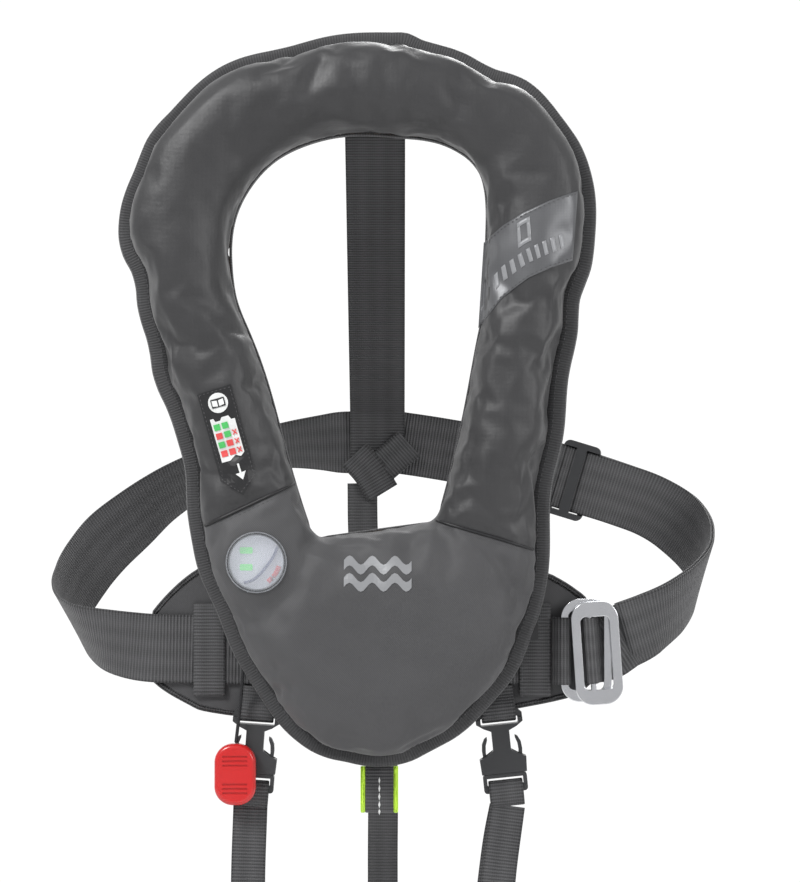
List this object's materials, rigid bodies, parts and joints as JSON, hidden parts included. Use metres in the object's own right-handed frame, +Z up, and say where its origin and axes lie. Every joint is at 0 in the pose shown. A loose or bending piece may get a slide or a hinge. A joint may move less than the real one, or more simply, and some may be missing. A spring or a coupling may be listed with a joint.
{
  "type": "inflatable life jacket",
  "caption": "Horseshoe inflatable life jacket: stuffed collar, bib with inspection window, waist belt with metal buckle, crotch straps, side-release buckles, lifting loop and pull handle.",
  "frame": {"origin": "top of the neck opening on the middle line of the collar, in the plane of the collar's thickness (the neck seat)", "axes": "+X to the right seen from the front, +Y from the front to the back of the wearer, +Z up along the jacket"},
  "size_m": [0.5054, 0.2775, 0.7591],
  "materials": {
    "cover_cloth": "coated woven polyester, slight sheen, creased",
    "bib_cloth": "matt twill-woven polyester",
    "lining_cloth": "plain woven lining",
    "edge_tape": "ribbed grosgrain binding",
    "zip_plastic": "coil zip teeth on woven tape",
    "clear_window": "clear flexible vinyl",
    "label_cloth": "coated label with printed marks",
    "reflective_tape": "grey reflective film, stitched edges",
    "bladder_cloth": "yellow coated bladder cloth",
    "webbing": "ribbed polyester webbing",
    "loop_edge": "fluorescent yellow-green webbing edge",
    "steel": "satin stainless steel",
    "buckle_plastic": "moulded acetal",
    "handle_red": "moulded soft red plastic",
    "cord_braid": "braided cord",
    "inflator_plastic": "white moulded plastic",
    "indicator_green": "green indicator",
    "cylinder_steel": "plated steel",
    "tube_rubber": "soft rubber tube",
    "whistle_orange": "moulded plastic",
    "light_lens": "translucent moulded lens"
  },
  "bodies": {
    "jacket": {"cover_collar": "cover_cloth", "cover_bib": "bib_cloth", "seam_tape": "zip_plastic", "back_panel": "lining_cloth", "front_binding": "edge_tape", "burst_zip": "zip_plastic", "zip_slider": "zip_plastic", "rear_binding": "edge_tape", "inspection_window": "clear_window", "instruction_patch": "label_cloth", "reflective_band": "reflective_tape", "bladder": "bladder_cloth", "inflator_body": "inflator_plastic", "status_indicators": "indicator_green", "oral_tube": "tube_rubber", "whistle": "whistle_orange", "light_unit": "light_lens", "harness_panel": "bib_cloth", "wing_binding": "edge_tape", "waist_belt_left": "webbing", "waist_belt_right": "webbing", "waist_belt_return": "webbing", "belt_keeper_left": "webbing", "belt_keeper_right": "webbing", "buckle_ring": "steel", "buckle_ring_webbing": "webbing", "yoke_strap": "webbing", "yoke_doubler": "webbing", "hitch_upper": "webbing", "hitch_lower": "webbing", "hitch_back": "webbing", "crotch_strap_back": "webbing", "crotch_junction": "webbing", "socket_left": "buckle_plastic", "socket_right": "buckle_plastic", "socket_tab_left": "webbing", "socket_tab_right": "webbing"},
    "plate": {"buckle_plate": "steel", "buckle_bar": "steel", "buckle_webbing": "webbing"},
    "adjuster": {"belt_adjuster": "buckle_plastic"},
    "plug_left": {"plug_left": "buckle_plastic", "crotch_eye_left": "webbing", "crotch_strap_left": "webbing"},
    "plug_right": {"plug_right": "buckle_plastic", "crotch_eye_right": "webbing", "crotch_strap_right": "webbing", "crotch_tail_right": "webbing"},
    "prong_left_outer": {"prong_left_outer": "buckle_plastic"},
    "prong_left_inner": {"prong_left_inner": "buckle_plastic"},
    "prong_right_outer": {"prong_right_outer": "buckle_plastic"},
    "prong_right_inner": {"prong_right_inner": "buckle_plastic"},
    "handle": {"pull_handle": "handle_red", "pull_cord": "cord_braid", "pull_cord_inner": "cord_braid"},
    "lever": {"firing_lever": "handle_red"},
    "loop": {"lifting_loop": "webbing", "lifting_loop_edges": "loop_edge"},
    "cylinder": {"co2_cylinder": "cylinder_steel"},
    "cap": {"oral_cap": "buckle_plastic"}
  },
  "joints": [
    {"name": "handle_pull", "type": "slide", "parent": "jacket", "child": "handle", "axis": [-0.0922, 0, -0.9957], "range_m": [0, 0.035]},
    {"name": "lever_turn", "type": "hinge", "parent": "jacket", "child": "lever", "pos_m": [-0.06, 0.0125, -0.338], "axis": [0, -1, 0], "range_deg": [0, 72]},
    {"name": "plug_left_out", "type": "slide", "parent": "jacket", "child": "plug_left", "axis": [-0.0698, 0, -0.9976], "range_m": [0, 0.034], "deforming": ["crotch_strap_left"]},
    {"name": "prong_left_outer_press", "type": "hinge", "parent": "plug_left", "child": "prong_left_outer", "pos_m": [-0.09448, 0.0245, -0.461], "axis": [0, 1, 0], "range_deg": [0, 5], "stiffness_Nm_per_rad": 0.05},
    {"name": "prong_left_inner_press", "type": "hinge", "parent": "plug_left", "child": "prong_left_inner", "pos_m": [-0.07273, 0.0245, -0.46252], "axis": [0, -1, 0], "range_deg": [0, 5], "stiffness_Nm_per_rad": 0.05},
    {"name": "plug_right_out", "type": "slide", "parent": "jacket", "child": "plug_right", "axis": [0.1045, 0, -0.9945], "range_m": [0, 0.034], "deforming": ["crotch_strap_right", "crotch_tail_right"]},
    {"name": "prong_right_outer_press", "type": "hinge", "parent": "plug_right", "child": "prong_right_outer", "pos_m": [0.11079, 0.0245, -0.46057], "axis": [0, -1, 0], "range_deg": [0, 5], "stiffness_Nm_per_rad": 0.05},
    {"name": "prong_right_inner_press", "type": "hinge", "parent": "plug_right", "child": "prong_right_inner", "pos_m": [0.08911, 0.0245, -0.46285], "axis": [0, 1, 0], "range_deg": [0, 5], "stiffness_Nm_per_rad": 0.05},
    {"name": "plate_swing", "type": "hinge", "parent": "jacket", "child": "plate", "pos_m": [0.1848, 0.018, -0.374], "axis": [0, 0, 1], "range_deg": [0, 75], "deforming": ["buckle_webbing"]},
    {"name": "adjuster_slide", "type": "slide", "parent": "jacket", "child": "adjuster", "axis": [-0.9473, 0.1342, 0.2908], "range_m": [-0.012, 0.012]},
    {"name": "loop_swing", "type": "hinge", "parent": "jacket", "child": "loop", "pos_m": [0.0088, 0.0232, -0.4565], "axis": [1, 0, 0], "range_deg": [0, 60]},
    {"name": "cylinder_unscrew", "type": "hinge", "parent": "jacket", "child": "cylinder", "pos_m": [-0.084, -0.004, -0.281], "axis": [-0.239, 0, 0.971], "range_deg": [0, 1080]},
    {"name": "cap_pull", "type": "slide", "parent": "jacket", "child": "cap", "axis": [0.1498, 0, 0.9887], "range_m": [0, 0.01]}
  ],
  "couplings": [
    {"joint": "lever_turn", "follows": "handle_pull", "rad_per_m": 34.9},
    {"joint": "prong_left_inner_press", "follows": "prong_left_outer_press", "ratio": 1},
    {"joint": "prong_right_inner_press", "follows": "prong_right_outer_press", "ratio": 1}
  ]
}
